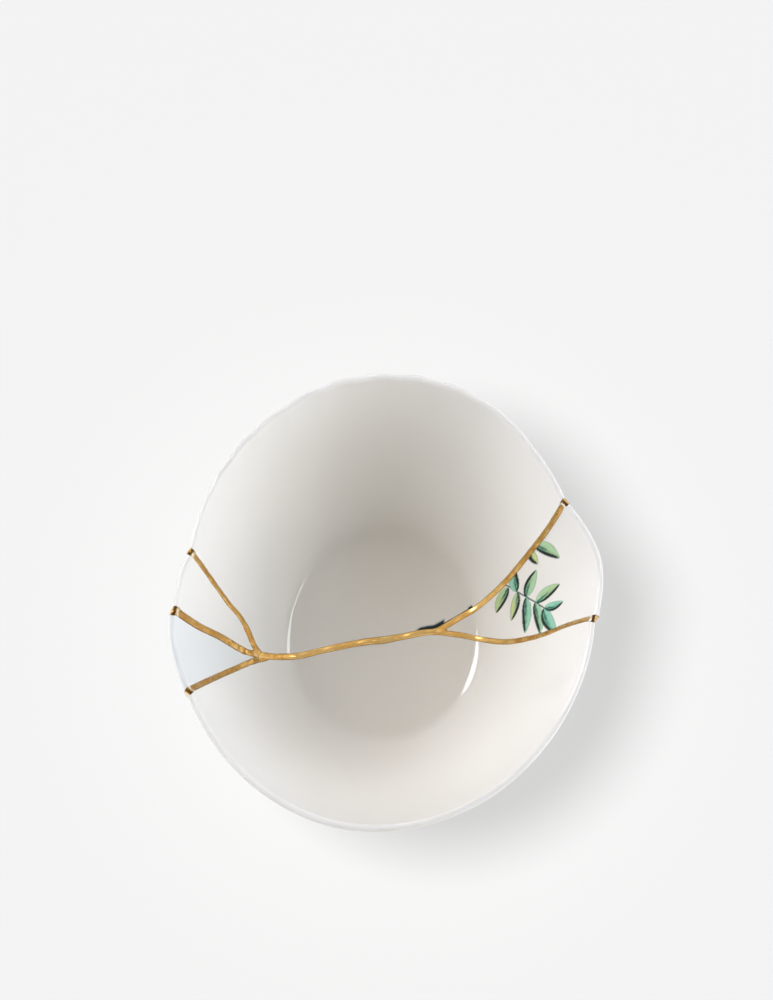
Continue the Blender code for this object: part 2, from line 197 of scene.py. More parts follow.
def wallLines():
    # Radius and height of the inside and of the outside, each from the middle to the lip's edge.
    # The wall is a parabola with the two slopes at its ends, and the lip half a circle.
    floorTop = bowl["footHeight"] + bowl["floor"]
    half = bowl["wall"] / 2
    wellSlope, rimSlope = math.radians(bowl["slopeAtWell"]), math.radians(bowl["slopeAtRim"])
    lip = np.array([bowl["radius"] - half, bowl["height"] - half])
    corner = np.array([bowl["wellRadius"], floorTop])
    before = corner - (bowl["wellFillet"], 0.0)
    start = corner + bowl["wellFillet"] * np.array([math.cos(wellSlope), math.sin(wellSlope)])
    end = lip + half * np.array([-math.sin(rimSlope), math.cos(rimSlope)])
    rise = end[1] - start[1] - math.tan(rimSlope) * (end[0] - start[0])
    run = rise / (math.tan(wellSlope) - math.tan(rimSlope))
    meeting = start + run * np.array([1.0, math.tan(wellSlope)])
    inWall = bezier(start, meeting, end, 90)
    tangent = np.gradient(inWall, axis=0)
    tangent /= np.linalg.norm(tangent, axis=1)[:, None]
    outWall = inWall + bowl["wall"] * np.stack([tangent[:, 1], -tangent[:, 0]], axis=1)
    first = math.pi / 2 + rimSlope
    innerArc = np.linspace(first, 0.0, 22)[1:]
    outerArc = np.linspace(first - math.pi, 0.0, 9)[1:]
    inside = np.vstack([
        [0.0, floorTop], bezier(before, corner, start, 9)[:-1], inWall,
        lip + half * np.stack([np.cos(innerArc), np.sin(innerArc)], axis=1),
    ])
    footOut = bowl["wellRadius"] - bowl["footInset"]
    footIn = footOut - bowl["footWidth"]
    edge = bowl["footRound"]
    footTop = outWall[0][1] - math.tan(wellSlope) * (outWall[0][0] - footOut)
    foot = np.vstack([
        [footIn - 3 * edge, bowl["footHeight"]],
        bezier((footIn - edge, bowl["footHeight"]), (footIn, bowl["footHeight"]),
               (footIn + 0.3 * edge, bowl["footHeight"] - 2 * edge), 5),
        bezier((footIn + edge, 1.5 * edge), (footIn + edge, 0.0), (footIn + 2.2 * edge, 0.0), 6),
        bezier((footOut - 2.2 * edge, 0.0), (footOut - edge, 0.0), (footOut - edge, edge), 6),
        bezier((footOut - 0.2 * edge, footTop - 2 * edge), (footOut, footTop),
               (footOut + edge, footTop + edge * math.tan(wellSlope)), 5),
    ])
    outside = np.vstack([
        [0.0, bowl["footHeight"]], foot, outWall,
        lip + half * np.stack([np.cos(outerArc), np.sin(outerArc)], axis=1),
    ])
    outside[:, 0] = np.maximum.accumulate(outside[:, 0] + 1e-9 * np.arange(len(outside)))
    return inside, outside


insideLine, outsideLine = wallLines()


def lineFrame(line, radius):
    # Height of a wall line at each radius, and the slope of its tangent there
    along = np.concatenate([[0.0], np.cumsum(np.linalg.norm(np.diff(line, axis=0), axis=1))])
    tangent = np.stack([np.gradient(line[:, 0], along), np.gradient(line[:, 1], along)], axis=1)
    place = np.interp(radius, line[:, 0], along)
    height = np.interp(place, along, line[:, 1])
    runs = np.stack([np.interp(place, along, tangent[:, k]) for k in (0, 1)], axis=-1)
    runs /= np.linalg.norm(runs, axis=-1)[..., None]
    return height, runs


def armLine(name):
    shares = np.linspace(arms[name][0][0], 1.0, 400)
    angles = np.radians(throughPoints(arms[name], shares))
    return bowl["radius"] * shares[:, None] * np.stack([np.cos(angles), np.sin(angles)], axis=1)


def trunkLine():
    xs = np.linspace(trunk[0][0], trunk[-1][0], 400)
    return bowl["radius"] * np.stack([xs, throughPoints(trunk, xs)], axis=1)


def rimAngle(angle, share):
    # The seams carry the wall's form along with them, so it is read at the rim end of its shard
    share = np.clip(share, bowl["partsFrom"], 1.0)
    seams = [np.interp(share, *np.array(arm).T) for arm in arms.values()]
    ends = [arm[-1][1] for arm in arms.values()]
    seams.append(seams[0] + 360.0)
    ends.append(ends[0] + 360.0)
    angle = (angle - seams[0]) % 360 + seams[0]
    found = np.zeros_like(angle)
    for i in range(len(arms)):
        part = (angle - seams[i]) / (seams[i + 1] - seams[i])
        between = (part >= 0) & (part <= 1)
        found = np.where(between, ends[i] + part * (ends[i + 1] - ends[i]), found)
    return found


def rimShare(angle, share):
    # Each shard's own smooth curve, a short step between shards, and the rounded scallops
    knots = [knot for shard in rims.values() for knot in shard]
    first, firstShare = knots[0]
    angle = (angle - first) % 360 + first
    xs, ys = np.array(knots + [(first + 360, firstShare)]).T
    found = np.interp(angle, xs, ys)
    for shard in rims.values():
        inside = (angle >= shard[0][0]) & (angle <= shard[-1][0])
        found = np.where(inside, throughPoints(shard, angle), found)
    start, end = rims[scallops["shard"]][0][0], rims[scallops["shard"]][-1][0]
    lobe = np.abs(np.sin(np.pi * (angle - scallops["start"]) / scallops["pitch"])) - 2 / np.pi
    shown = np.sin(np.pi * np.clip((angle - start) / (end - start), 0, 1))
    shown = shown * smoothStep((share - scallops["fadesFrom"]) / (1 - scallops["fadesFrom"]))
    return found + scallops["depth"] / bowl["radius"] * lobe * shown


def drawOut(points):
    # Moves the points of the round bowl away from its axis to the real outline and the long well
    radius = np.hypot(points[..., 0], points[..., 1])
    angle = np.arctan2(points[..., 1], points[..., 0])
    share = radius / bowl["radius"]
    well = bowl["wellRadius"] / bowl["radius"]
    wellShare = 1 / np.hypot(np.cos(angle) / bowl["wellWide"], np.sin(angle) / bowl["wellLong"])
    outer = rimShare(rimAngle(np.degrees(angle), share), share)
    blend = smoothStep((share - well) / (1 - well))
    radius = radius * (wellShare * (1 - blend) + outer * blend)
    moved = points.copy()
    shift = np.array(bowl["wellShift"]) * bowl["wellRadius"]
    moved[..., 0] = radius * np.cos(angle) + shift[0] * (1 - blend)
    moved[..., 1] = radius * np.sin(angle) + shift[1] * (1 - blend)
    return moved


def outlineMiddle():
    # The CAD's origin is under the middle of the outline, so the same shift is taken here
    turns = np.radians(np.linspace(0.0, 360.0, 7201))
    rim = bowl["radius"] * np.stack([np.cos(turns), np.sin(turns), 0 * turns], axis=1)
    rim = drawOut(rim)
    return (rim.min(axis=0) + rim.max(axis=0)) / 2


middle = outlineMiddle()


def placed(points):
    return drawOut(points) - middle


# The shards are grids on rings. In the well the rings are centred on the trunk, so that
# both large shards reach it, and further out on the bowl's own axis.
ringShift = np.array([0.0, float(throughPoints(trunk, np.array([0.0]))[0])]) * bowl["radius"]
ringsTrueFrom = 0.36 * bowl["radius"]


def ringMiddle(ring):
    fade = 1 - smoothStep(np.asarray(ring) / ringsTrueFrom)
    return fade[..., None] * ringShift


def seamPath(line):
    # Ring and unwrapped angle of each point of a seam line; a few rounds settle the ring's middle
    ring = np.hypot(*line.T)
    for _ in range(12):
        ring = np.hypot(*(line - ringMiddle(ring)).T)
    x, y = (line - ringMiddle(ring)).T
    angle = np.degrees(np.unwrap(np.arctan2(y, x)))
    return ring, angle


def joinedPath(parts, near):
    # Runs from the middle outwards along several lines, as one table of ring and angle
    rings, angles = [], []
    reach = 0.0
    for line in parts:
        ring, angle = seamPath(line)
        order = np.argsort(ring)
        ring, angle = ring[order], angle[order]
        keep = ring > reach + 0.0004
        rings.append(ring[keep])
        angles.append(angle[keep] + 360 * np.round((near - angle[keep].mean()) / 360))
        reach = rings[-1].max()
    return np.concatenate(rings), np.concatenate(angles)


lines = {"trunk": trunkLine()}
for arm in arms:
    lines[arm] = armLine(arm)
trunkX = lines["trunk"][:, 0]
rightTrunk = lines["trunk"][(trunkX > 0) & (trunkX < arms["upperRight"][0][0] * bowl["radius"])]
leftTrunk = lines["trunk"][trunkX < 0][::-1]
paths = {
    "upperRight": joinedPath([rightTrunk, lines["upperRight"]], 0),
    "upperLeft": joinedPath([leftTrunk, lines["upperLeft"]], 180),
    "middleLeft": joinedPath([leftTrunk, lines["middleLeft"]], 180),
    "lowerLeft": joinedPath([leftTrunk, lines["lowerLeft"]], 180),
    "lowerRight": joinedPath([rightTrunk, lines["lowerRight"]], 0),
}

# Each shard lies between two seams, from the first to the second counter-clockwise. Its points are
# spacing apart along the rim and wallRows apart up the wall; the painted one needs finer ones.
shards = {
    "upperShard": {
        "node": "upper_shard", "slot": "warm_glaze", "between": ("upperRight", "upperLeft"),
        "spacing": 0.00075, "wallRows": 0.0010,
    },
    "leafShard": {
        "node": "leaf_shard", "slot": "painted_glaze", "between": ("lowerRight", "upperRight"),
        "spacing": 0.00033, "wallRows": 0.00033,
    },
    "lowerShard": {
        "node": "lower_shard", "slot": "warm_glaze", "between": ("lowerLeft", "lowerRight"),
        "spacing": 0.00075, "wallRows": 0.0010,
    },
    "leftUpperShard": {
        "node": "left_upper_shard", "slot": "warm_glaze", "between": ("upperLeft", "middleLeft"),
        "spacing": 0.00075, "wallRows": 0.0010,
    },
    "leftLowerShard": {
        "node": "left_lower_shard", "slot": "cool_glaze", "between": ("middleLeft", "lowerLeft"),
        "spacing": 0.00075, "wallRows": 0.0010,
    },
}
cuts = {
    "half": 0.0007,  # the shards end this far from the seam's line, under the gold
    "innermost": 0.0011,
    "floorRows": 0.0011,
    "footAndFillet": (0.030, 0.046),  # radii between which the rows follow every bend
    "closest": 0.00006,  # rows nearer than this are dropped
    "closestAtEdge": 0.00001,
}


def meshObject(name, points, faces):
    mesh = bpy.data.meshes.new(name)
    mesh.from_pydata(points.tolist(), [], faces)
    mesh.update()
    obj = bpy.data.objects.new(name, mesh)
    bpy.context.scene.collection.objects.link(obj)
    return obj


def meshPoints(mesh):
    flat = np.empty(len(mesh.vertices) * 3)
    mesh.vertices.foreach_get("co", flat)
    return flat.reshape(-1, 3)


def gridFaces(rows):
    # Quads between neighbouring rows of point numbers, counter-clockwise as seen from outside
    a, b = rows[:-1, :-1].ravel(), rows[:-1, 1:].ravel()
    c, d = rows[1:, 1:].ravel(), rows[1:, :-1].ravel()
    return np.stack([a, d, c, b], axis=1)


def seamEdge(name, ring, side):
    # Angle of a shard's edge beside a seam: the seam's angle and the cut's half width round the ring
    rings, angles = paths[name]
    angle = np.interp(ring, rings, angles)
    slant = ring * np.gradient(np.radians(angle), ring)
    reach = cuts["half"] * np.minimum(np.hypot(1.0, slant), 2.5)
    return angle + side * np.degrees(np.arcsin(np.minimum(reach / ring, 0.95)))


def shardRings(step):
    # Radii of the rows: coarse over the flat floor, fine at the foot, the fillet and the lip
    wellEnd = bowl["wellRadius"] + bowl["wellFillet"]
    lipFrom = bowl["radius"] - 1.1 * bowl["wall"]
    inner, outer = insideLine[:, 0], outsideLine[:, 0]
    begin, end = cuts["footAndFillet"]
    rows = np.unique(np.concatenate([
        np.arange(cuts["innermost"], bowl["wellRadius"], cuts["floorRows"]),
        outer[(outer > begin) & (outer < end)], inner[(inner > begin) & (inner < wellEnd)],
        np.arange(wellEnd, lipFrom, step), inner[inner > lipFrom], outer[outer > lipFrom],
    ]).round(7))
    kept = [rows[0]]
    for row in rows[1:]:
        atEdge = row > bowl["radius"] - 0.0002
        if row - kept[-1] > cuts["closestAtEdge" if atEdge else "closest"]:
            kept.append(row)
    kept[-1] = bowl["radius"]
    return np.array(kept)


def buildShard(name, facts):
    # Points at ring r and share a of the way from one seam to the other. The inside and outside
    # have the same rings and meet at the lip's edge; the cut faces run straight between them.
    rings = shardRings(facts["wallRows"])
    first, second = facts["between"]
    a0 = seamEdge(first, rings, 1.0)
    a1 = seamEdge(second, rings, -1.0)
    a1 = a1 + 360 * np.ceil((a0[-1] - a1[-1]) / 360)
    wide = (a1 - a0) > 0.05
    begin = len(wide) - np.argmin(wide[::-1]) if not wide.all() else 0
    rings, a0, a1 = rings[begin:], a0[begin:], a1[begin:]
    columns = int(math.radians(a1[-1] - a0[-1]) * bowl["radius"] / facts["spacing"]) + 1
    share = np.linspace(0.0, 1.0, columns)
    angle = np.radians(a0[:, None] + share * (a1 - a0)[:, None])
    flat = ringMiddle(rings)[:, None, :] + rings[:, None, None] * np.stack(
        [np.cos(angle), np.sin(angle)], axis=-1)
    trueRadius = np.hypot(flat[..., 0], flat[..., 1])
    trueRadius = np.where(rings[:, None] > ringsTrueFrom, rings[:, None], trueRadius)
    top = np.dstack([flat, np.interp(trueRadius, *insideLine.T)])
    low = np.dstack([flat, np.interp(trueRadius, *outsideLine.T)])
    shape = top.shape[:2]
    topRows = np.arange(shape[0] * shape[1]).reshape(shape)
    lowRows = topRows + topRows.size
    lowRows[-1] = topRows[-1]
    points = placed(np.concatenate([top.reshape(-1, 3), low[:-1].reshape(-1, 3)]))
    quads = [
        gridFaces(topRows),
        gridFaces(lowRows)[:, ::-1],
        gridFaces(np.stack([topRows[:, 0], lowRows[:, 0]], axis=1))[:, ::-1],
        gridFaces(np.stack([topRows[:, -1], lowRows[:, -1]], axis=1)),
        gridFaces(np.stack([topRows[0], lowRows[0]], axis=0))[:, ::-1],
    ]
    # A quad that closes up at the lip's edge keeps three corners
    faces = [list(dict.fromkeys(quad)) for quad in np.concatenate(quads).tolist()]
    obj = meshObject(name, points, faces)
    obj.data.shade_smooth()
    obj.data.set_sharp_from_angle(angle=math.radians(50))
    return obj


print("shards")
pieces = {name: buildShard(name, facts) for name, facts in shards.items()}
for name, piece in pieces.items():
    print("  ", name, len(piece.data.polygons), "faces")


def linearColour(code):
    values = [int(code[i:i + 2], 16) / 255 for i in (1, 3, 5)]
    linear = [v / 12.92 if v <= 0.04045 else ((v + 0.055) / 1.055) ** 2.4 for v in values]
    return (*linear, 1.0)


def noise(points, length, seed, waves=24):
    # Smooth noise of about unit size: plane waves of the given length in seeded directions
    rng = np.random.default_rng(seed)
    direction = rng.normal(size=(waves, 3))
    direction *= (2 * np.pi / length * rng.uniform(0.6, 1.6, waves) /
                  np.linalg.norm(direction, axis=1))[:, None]
    phase = rng.uniform(0, 2 * np.pi, waves)
    return np.sin(points @ direction.T + phase).sum(axis=1) * math.sqrt(2.0 / waves)


def swell(share):
    # How much wider the bead is at this share of the radius: 1, and 1 + flare in its end pad
    begins, ends = gold["flareFrom"], gold["flareTo"]
    return 1 + gold["flare"] * smoothStep((share - begins) / (ends - begins))


def strand(name, line):
    # One run of the seam as a closed tube: at each station a bead on the inside of the wall and
    # one on the outside. The bead's height over the glaze is rise times (1 - |s|^3)^0.6, s across
    # it, and lower at the neck before the pad that folds over the lip.
    radius = np.hypot(*line.T)
    length = np.concatenate([[0.0], np.cumsum(np.linalg.norm(np.diff(line, axis=0), axis=1))])
    stops = np.arange(0.0, length[-1], gold["spacing"])
    if radius[-1] > bowl["radius"] - 1e-6:
        arc = bowl["wall"] / 2 * (1 - np.cos(np.linspace(0, math.pi / 2, 12)))
        before = stops[stops < length[-1] - bowl["wall"] / 2]
        stops = np.concatenate([before, length[-1] - arc[::-1]])
    else:
        stops = np.append(stops, length[-1])
    stops = np.unique(stops.round(8))
    points = np.stack([np.interp(stops, length, line[:, k]) for k in (0, 1)], axis=1)
    along = np.gradient(line, axis=0)
    along = np.stack([np.interp(stops, length, along[:, k]) for k in (0, 1)], axis=1)
    along /= np.linalg.norm(along, axis=1)[:, None]
    across = np.stack([-along[:, 1], along[:, 0]], axis=1)
    share = np.hypot(*points.T) / bowl["radius"]
    half = swell(share) * gold["width"] * gold["widths"][name] / 2
    beyond = (share - gold["flareFrom"]) / (gold["flareTo"] - gold["flareFrom"])
    neck = 1 - gold["neck"] * np.exp(-beyond ** 2)
    folded = smoothStep((share - gold["overLipFrom"]) / gold["overLipIn"])
    neck = neck * (1 - (1 - gold["overLip"]) * folded)
    ringsOf = []
    for wallLine, facing in ((insideLine, 1), (outsideLine, -1)):
        for s in np.sin(np.linspace(-math.pi / 2, math.pi / 2, gold["across"]))[::facing]:
            flat = points + across * (half * s)[:, None]
            far = np.minimum(np.hypot(*flat.T), bowl["radius"])
            out = flat / np.maximum(np.hypot(*flat.T), 1e-6)[:, None]
            height, runs = lineFrame(wallLine, far)
            rise = gold["rise"] * neck * np.abs(1 - abs(s) ** 3) ** 0.6
            side = -runs[:, 1] * facing
            up = runs[:, 0] * facing
            level = height + up * rise
            ringsOf.append(np.column_stack([flat + out * (side * rise)[:, None], level]))
    grid = np.stack(ringsOf, axis=1)
    grid[..., 2] = np.maximum(grid[..., 2], gold["clearOfTable"])
    grid = placed(grid.reshape(-1, 3)).reshape(grid.shape)
    count, size = grid.shape[:2]
    rows = np.arange(count * size).reshape(count, size)
    rows = np.column_stack([rows, rows[:, 0]])
    faces = gridFaces(rows).tolist()
    faces += [rows[0, :-1].tolist(), rows[-1, :-1][::-1].tolist()]
    return grid.reshape(-1, 3), faces


print("gold seams")
points, faces, count = [], [], 0
for name, line in lines.items():
    ofStrand, strandFaces = strand(name, line)
    points.append(ofStrand)
    faces += [[count + i for i in face] for face in strandFaces]
    count += len(ofStrand)
blank = meshObject("goldBlank", np.concatenate(points), faces)
remesh = blank.modifiers.new("oneBody", "REMESH")
remesh.mode = "VOXEL"
remesh.voxel_size = gold["voxel"]
relax = blank.modifiers.new("relax", "SMOOTH")
relax.factor, relax.iterations = 0.5, 3
bpy.context.view_layer.update()
finished = blank.evaluated_get(bpy.context.evaluated_depsgraph_get())
goldMesh = bpy.data.meshes.new_from_object(finished)
bpy.data.objects.remove(blank)
goldMesh.name = "goldSeams"
flatPoints = meshPoints(goldMesh)
normals = np.empty(len(goldMesh.vertices) * 3)
goldMesh.vertex_normals.foreach_get("vector", normals)
normals = normals.reshape(-1, 3)
# Of each point: how far it is from the bead's middle, in half widths, and the share of the radius
border, reach = np.full(len(flatPoints), 9.0), np.zeros(len(flatPoints))
for name, line in lines.items():
    line = line[::4]
    share = np.hypot(*line.T) / bowl["radius"]
    halves = gold["width"] * gold["widths"][name] / 2 * swell(share)
    gap, nearest = nearestOn(flatPoints, placed(np.column_stack([line, 0 * line[:, 0]])), halves)
    closer = gap < border
    border[closer] = gap[closer]
    reach[closer] = share[nearest[closer]]
# The unevenness lies along the bead's middle and leaves its edges as they are
move = gold["wobble"] * noise(flatPoints, gold["wobbleLength"], gold["seed"])
rng = np.random.default_rng(gold["seed"])
centres = rng.uniform(-1, 1, (gold["facets"], 2)) * (1.0, gold["facetsWide"])
centres = gold["facetsAt"] + gold["facetsReach"] * centres
tilts = gold["facetTilt"] * rng.uniform(-1, 1, (gold["facets"], 2))
fromMiddle = (flatPoints[:, :2] - gold["facetsAt"]) / gold["facetsReach"]
hammered = np.hypot(*fromMiddle.T) < 1.0
around = flatPoints[hammered, :2]
nearest = nearestOn(around, centres)[1]
fade = smoothStep((1 - np.hypot(*fromMiddle[hammered].T)) / 0.35)
move[hammered] += fade * ((around - centres[nearest]) * tilts[nearest]).sum(axis=1)
move = move * np.clip(1.1 - border ** 2, 0, 1)
flatPoints = flatPoints + normals * move[:, None]
flatPoints[:, 2] = np.maximum(flatPoints[:, 2], gold["clearOfTable"])
goldMesh.vertices.foreach_set("co", flatPoints.ravel())
goldMesh.update()
goldMesh.shade_smooth()
goldMesh.attributes.new("border", "FLOAT", "POINT").data.foreach_set("value", border)
facingUp = smoothStep(normals[:, 2] / 0.3)  # the painted reflection and highlights stay off the outside
# The end pads' painted dark reflection and painted highlights, as shares of cover at each point
for mark in ("worn", "fresh"):
    cover = sum(smoothStep(1.5 - np.abs(reach - at) / half) for at, half in gold[mark])
    goldMesh.attributes.new(mark, "FLOAT", "POINT").data.foreach_set("value", cover * facingUp)
goldSeams = bpy.data.objects.new("goldSeams", goldMesh)
bpy.context.scene.collection.objects.link(goldSeams)
print("  ", len(goldMesh.polygons), "faces")

# The sprig is painted in plan, in millimetres from the middle of the plate. Each leaflet has its
# base, tip, width, bend to the left, how far it turns from green to yellow, and its dark side
# (1 on the left as seen from base to tip, -1 on the right).
sprig = {
    "leaflets": [
        ((53.0, 17.4), (48.0, 7.4), 4.5, -0.5, 0.75, 1),
        ((57.0, 14.4), (54.4, 2.8), 3.7, 0.3, 0.95, 1),
        ((60.7, 11.4), (60.1, -4.2), 4.0, 0.5, 0.20, -1),
        ((64.4, 8.2), (66.4, -6.4), 3.8, 0.6, 0.35, -1),
        ((68.0, 4.6), (73.0, -8.6), 4.6, -0.6, 0.10, -1),
        ((56.6, 14.9), (55.4, 24.6), 4.2, 0.5, 0.15, -1),
        ((60.9, 11.7), (64.9, 21.6), 4.7, 0.4, 0.50, 1),
        ((64.9, 8.3), (74.6, 13.0), 5.0, 0.6, 0.60, -1),
        ((68.4, 4.9), (76.0, 5.0), 4.0, -0.6, 0.10, -1),
        ((64.0, 31.6), (74.4, 23.2), 4.2, 0.6, 0.55, -1),
        ((62.0, 30.0), (65.6, 23.6), 3.2, -0.3, 1.00, -1),
    ],
    "stem": [(50.6, 19.6), (53.6, 17.6), (57.0, 14.7), (61.0, 11.5), (65.0, 8.1), (68.8, 4.2)],
    "stemWidth": 0.55,
    "softness": 0.25,
    "outline": 1.25,  # thickness of the dark side of each leaflet, in millimetres
    "streaks": 1.6,  # millimetres between the brush's streaks
    "seed": 11,
    "green": "#3f8f71",
    "teal": "#8fd0b6",
    "yellow": "#cfd88c",
    "dark": "#0e1a18",
}
# A dark brush stroke runs beside the gold on the large upper shard: x in millimetres, thickness
brush = {
    "thickness": [(13.0, 0.0), (14.5, 0.9), (18.0, 1.25), (22.0, 1.45), (24.9, 1.5), (25.3, 0.2),
                  (30.0, 0.14), (35.4, 0.2), (35.9, 0.7), (37.4, 0.6), (37.8, 0.0)],
    "colour": "#0d1f1c",
    "fringe": "#8cc9c0",
    "fringeWidth": 0.8,
}


def layOn(paint, colour, cover):
    # Lays a colour over the paint so far: rgb and cover, as one glaze coat over another
    cover = cover[:, None]
    paint[:, :3] = paint[:, :3] * (1 - cover) + np.asarray(colour)[..., :3] * cover
    paint[:, 3:] = 1 - (1 - paint[:, 3:]) * (1 - cover)


def paintSprig(points):
    # points are in millimetres in plan; along a leaflet u runs from base to tip, and its half
    # width is width/2 * sin(pi u^0.8)^0.65. side is 0 at its middle and 1 at its dark edge. Green
    # turns to teal on the light side and to yellow at the tip, a dark vein fades out from the
    # base, and the brush left a dark line along one side.
    paint = np.zeros((len(points), 4))
    tone = {k: np.array(linearColour(sprig[k])[:3]) for k in ("green", "teal", "yellow", "dark")}
    paint[:, :3] = tone["green"]
    flat = np.column_stack([points, 0 * points[:, 0]])
    streak = noise(flat, sprig["streaks"], sprig["seed"])
    stem = np.array(sprig["stem"])
    xs = np.linspace(0, len(stem) - 1, 160)
    stem = np.stack([np.interp(xs, np.arange(len(stem)), stem[:, k]) for k in (0, 1)], axis=1)
    stemEdge = sprig["stemWidth"] / 2 + sprig["softness"] / 2
    cover = smoothStep((stemEdge - nearestOn(points, stem)[0]) / sprig["softness"])
    layOn(paint, tone["dark"], cover)
    for base, tip, width, bend, yellow, darkSide in sprig["leaflets"]:
        base, tip = np.array(base), np.array(tip)
        length = np.hypot(*(tip - base))
        axis = (tip - base) / length
        u = ((points - base) @ axis) / length
        v = (points - base) @ np.array([-axis[1], axis[0]])
        inner = np.clip(u, 0.0, 1.0)
        v = v - bend * 4 * inner * (1 - inner)
        half = width / 2 * np.sin(np.pi * inner ** 0.8) ** 0.65
        side = darkSide * v / np.maximum(half, 0.05)
        cover = smoothStep((half - np.abs(v)) / sprig["softness"] + 0.5) * ((u > 0) & (u < 1))
        light = smoothStep(0.55 - 0.75 * side + 0.10 * streak)[:, None]
        colour = tone["green"] * (1 - light) + tone["teal"] * light
        warm = np.clip(yellow * smoothStep(0.3 + 0.9 * inner - 0.5 * side + 0.12 * streak), 0, 1)
        colour = colour * (1 - warm[:, None]) + tone["yellow"] * warm[:, None]
        vein = smoothStep(1 - np.abs(side - 0.15) / (0.30 - 0.2 * inner))
        vein = vein * smoothStep((0.7 - inner) / 0.4)
        line = sprig["outline"] * (0.25 + 0.75 * (side > 0))
        line = line * (0.55 + 0.45 * np.sin(np.pi * inner ** 1.4))
        edge = smoothStep((np.abs(v) - half + line) / 0.25 + 0.4)
        dark = np.clip(0.85 * vein + edge * np.where(side > 0, 1.0, 0.35), 0, 1)[:, None]
        colour = colour * (1 - dark) + tone["dark"] * dark
        layOn(paint, colour, cover)
    return paint


def paintBrush(points):
    # points are in millimetres in plan. The stroke's thickness follows x and is measured outwards
    # from the gold's edge, and a thinner wash shows round it where it is thick.
    paint = np.zeros((len(points), 4))
    paint[:, :3] = linearColour(brush["colour"])[:3]
    x, thickness = np.array(brush["thickness"]).T
    beside = (points[:, 0] > x[0] - 2) & (points[:, 0] < x[-1] + 2) & (np.abs(points[:, 1]) < 25)
    seam = np.concatenate([rightTrunk, lines["upperRight"]])
    seam = 1000 * placed(np.column_stack([seam, 0 * seam[:, 0]]))
    part = points[beside]
    away = nearestOn(part, seam)[0] - 1000 * gold["width"] / 2
    deep = np.interp(part[:, 0], x, thickness, 0.0, 0.0)
    mine = paint[beside]
    fringe = smoothStep((deep + brush["fringeWidth"] * (deep > 0.3) - away) / 0.9)
    layOn(mine, linearColour(brush["fringe"]), 0.55 * fringe * (deep > 0))
    stroke = smoothStep((deep - away) / 0.3 + 0.5) * smoothStep(deep / 0.15)
    layOn(mine, linearColour(brush["colour"]), stroke)
    paint[beside] = mine
    return paint


def storePaint(mesh, paint):
    # Only the inside is painted, where the glaze faces up
    facing = np.empty(len(paint) * 3)
    mesh.vertex_normals.foreach_get("vector", facing)
    paint[:, 3] *= facing[2::3] > 0
    layer = mesh.color_attributes.new("paint", "FLOAT_COLOR", "POINT")
    layer.data.foreach_set("color", paint.ravel())


print("painting")
for name, picture in (("leafShard", paintSprig), ("upperShard", paintBrush)):
    mesh = pieces[name].data
    storePaint(mesh, picture(1000 * meshPoints(mesh)[:, :2]))


def addNode(tree, kind, values=None, links=None, **settings):
    # Adds a node, sets its settings and its sockets' values, and links what feeds it
    node = tree.nodes.new(kind)
    for key, value in settings.items():
        setattr(node, key, value)
    ins = {socket.name: socket for socket in reversed(node.inputs)}
    ins |= {socket.identifier: socket for socket in node.inputs}
    for socket, value in (values or {}).items():
        ins[socket].default_value = value
    for socket, source in (links or {}).items():
        tree.links.new(source, ins[socket])
    return node


def newMaterial(name):
    material = bpy.data.materials.new(name)
    material.use_nodes = True
    tree = material.node_tree
    shader = tree.nodes["Principled BSDF"]
    coords = tree.nodes.new("ShaderNodeTexCoord")
    return material, tree, shader, coords.outputs["Object"]


glaze = {
    "warm": ("#f5efe2", "#f3ecde"),
    "cool": ("#edebe2", "#ebe9e0"),
    "bisque": "#e8e0d2",
    "roughness": 0.07,
    "cloud": 0.03,
    "ripple": 0.014,  # metres between the glaze's gentle waves
    "rippleDepth": 0.00003,
    "bareBelow": (0.0005, 0.0003),  # heights between which the glaze gives way to the bare ring
    "bareRoughness": 0.7,
    "ior": 1.5,
}


